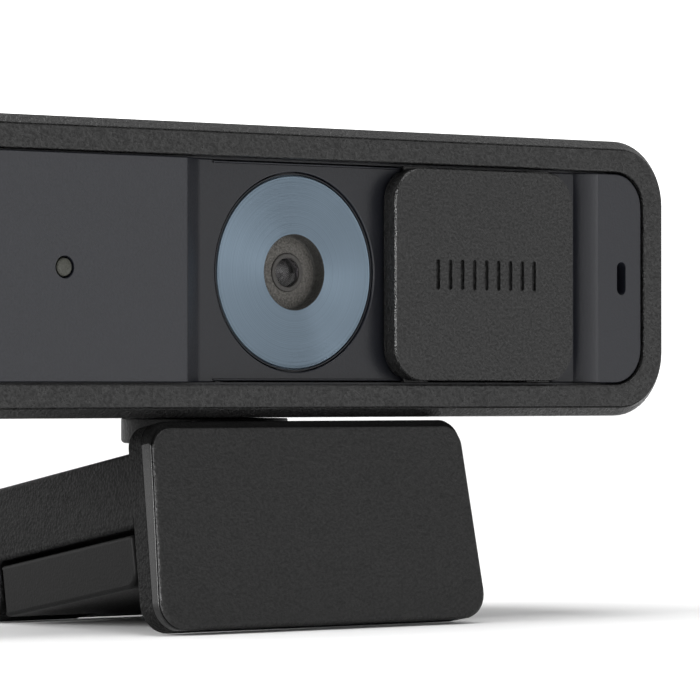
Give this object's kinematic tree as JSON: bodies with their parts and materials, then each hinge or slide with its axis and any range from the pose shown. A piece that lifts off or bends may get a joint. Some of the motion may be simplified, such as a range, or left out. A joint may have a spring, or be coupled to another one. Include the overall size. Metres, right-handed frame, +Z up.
{
  "type": "webcam on folding clip mount",
  "caption": "Bar-shaped desk webcam with a ringed lens and a sliding privacy shutter, on a swivel neck and a folding monitor clip with a tripod thread.",
  "frame": {"origin": "middle of the footprint's bounding box, on the surface the clip stands on", "axes": "+X along the camera bar towards the uncovered shutter's side, +Y to the rear, +Z up; the lens looks along -Y"},
  "size_m": [0.094, 0.035, 0.0482],
  "materials": {
    "bezel_plastic": "fine grain",
    "panel_plastic": "satin, slightly blue",
    "cap_plastic": "fine grain",
    "clip_plastic": "fine grain",
    "cover_plastic": "fine grain with smoother sides",
    "inner_plastic": "moulded",
    "disc_metal": "spun, blue-grey",
    "lens_metal": "satin black",
    "lens_glass": "coated",
    "filter_glass": "clear, blue-green",
    "board_green": "solder mask",
    "chip_black": "moulded package",
    "sensor_glass": "sensor package",
    "steel": "plain",
    "brass_insert": "turned",
    "pad_rubber": "soft, matt",
    "indicator_plastic": "frosted",
    "led_white": "chip package"
  },
  "bodies": {
    "clip": {"clip_bracket": "clip_plastic", "jaw_cover": "cover_plastic", "jaw_pad": "pad_rubber", "arm_pad": "pad_rubber", "cover_screws": "steel", "tilt_pin": "steel", "tilt_washers": "steel", "leg_pin": "steel", "leg_washers": "steel"},
    "leg": {"folding_leg": "clip_plastic", "leg_pad": "pad_rubber", "threaded_insert": "brass_insert"},
    "neck": {"swivel_neck": "clip_plastic", "swivel_retainer": "steel", "swivel_screw": "steel"},
    "head": {"front_bezel": "bezel_plastic", "front_panel": "panel_plastic", "lens_disc": "disc_metal", "lens_shroud": "inner_plastic", "lens_barrel": "lens_metal", "lens_retainer": "lens_metal", "lens_front_element": "lens_glass", "lens_rear_element": "lens_glass", "focus_housing": "inner_plastic", "infrared_filter": "filter_glass", "image_sensor": "sensor_glass", "sensor_board": "board_green", "front_board": "board_green", "mic_capsule_left": "steel", "mic_capsule_right": "steel", "mic_gasket_left": "pad_rubber", "mic_gasket_right": "pad_rubber", "indicator_lens": "indicator_plastic", "indicator_chip": "led_white", "main_board": "board_green", "shield_can": "steel", "inlet_shell": "steel", "inlet_tongue": "chip_black", "inlet_board": "board_green", "rear_housing": "bezel_plastic", "case_screws": "steel", "board_screws": "steel"},
    "shutter": {"shutter_cap": "cap_plastic", "shutter_slider": "cap_plastic"}
  },
  "joints": [
    {"name": "leg_fold", "type": "hinge", "parent": "clip", "child": "leg", "pos_m": [0, 0.01349, 0.0026], "axis": [1, 0, 0], "range_deg": [0, 120]},
    {"name": "head_tilt", "type": "hinge", "parent": "clip", "child": "neck", "pos_m": [0, 0.00284, 0.01199], "axis": [-1, 0, 0], "range_deg": [0, 25]},
    {"name": "head_pan", "type": "hinge", "parent": "neck", "child": "head", "pos_m": [0, 0.00284, 0.02019], "axis": [0, 0, 1], "range_deg": [-45, 45]},
    {"name": "shutter_slide", "type": "slide", "parent": "head", "child": "shutter", "axis": [-1, 0, 0], "range_m": [0, 0.0222]}
  ]
}
